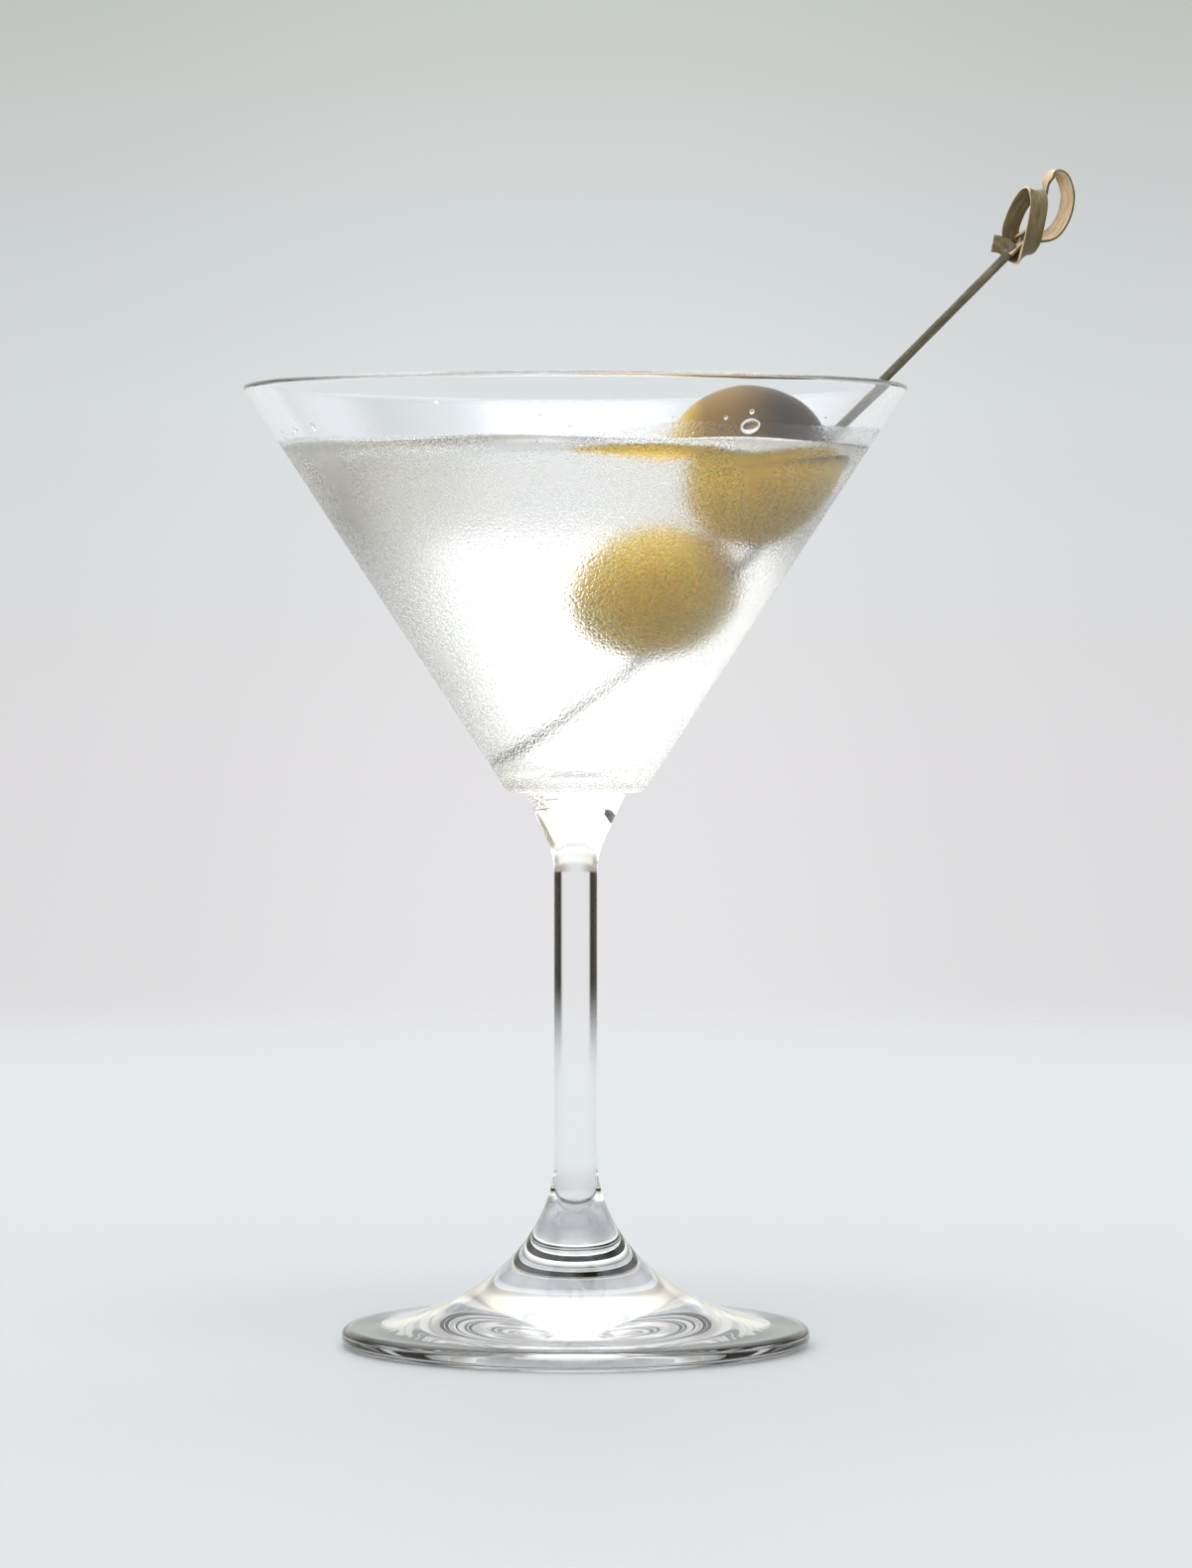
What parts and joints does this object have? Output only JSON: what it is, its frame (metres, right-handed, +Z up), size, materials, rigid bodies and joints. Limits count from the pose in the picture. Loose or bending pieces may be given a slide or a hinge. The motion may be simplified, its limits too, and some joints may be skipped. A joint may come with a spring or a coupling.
{
  "type": "martini cocktail in a stemmed cone glass",
  "caption": "Clear chilled cocktail in a stemmed cone glass, with olives skewered on a bamboo pick whose end is tied in a loop knot",
  "frame": {"origin": "centre of the foot's underside, on the surface that the glass stands on", "axes": "+Z up along the stem's axis, +X towards the side to which the pick leans, -Y towards the viewer"},
  "size_m": [0.1446, 0.1172, 0.2062],
  "materials": {
    "clear_glass": "clear and polished, misted with fine drops outside the drink",
    "clear_drink": "clear",
    "olive_flesh": "moist satin",
    "bamboo": "satin, with fine fibres"
  },
  "bodies": {
    "root": {"glass": "clear_glass", "drink": "clear_drink", "olive_lower": "olive_flesh", "olive_upper": "olive_flesh", "pick": "bamboo"}
  },
  "joints": []
}
